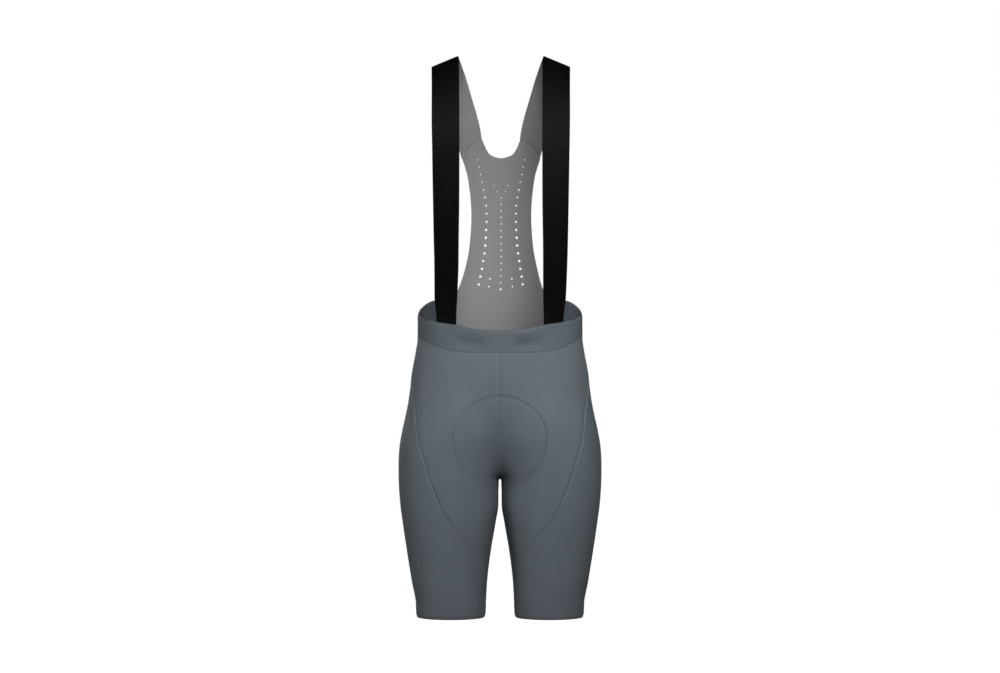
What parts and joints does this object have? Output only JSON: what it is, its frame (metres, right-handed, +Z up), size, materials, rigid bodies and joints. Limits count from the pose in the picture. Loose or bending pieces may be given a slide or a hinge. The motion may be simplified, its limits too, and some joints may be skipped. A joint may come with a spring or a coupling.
{
  "type": "cycling bib shorts",
  "caption": "Knee-length cycling bib shorts, filled out with no wearer: a slate tube for each leg, a waistband, webbing straps over the shoulders and a perforated back panel.",
  "frame": {"origin": "midway between the two places where the straps lie on the wearer's shoulders", "axes": "+Z up, -Y the front of the garment, +X the wearer's left"},
  "size_m": [0.3456, 0.2319, 0.9525],
  "materials": {
    "slate_knit": "matte blue-grey stretch knit with a soft sheen",
    "slate_band": "matte blue-grey folded stretch knit band",
    "grey_mesh": "matte mid-grey light knit with punched holes",
    "black_webbing": "black ribbed elastic webbing"
  },
  "bodies": {
    "root": {"waistband": "slate_band", "front_panel_left": "slate_knit", "front_panel_right": "slate_knit", "leg_panel_left": "slate_knit", "leg_panel_right": "slate_knit", "seat_panel_left": "slate_knit", "seat_panel_right": "slate_knit", "back_panel": "grey_mesh", "strap_left": "black_webbing", "strap_right": "black_webbing"}
  },
  "joints": []
}
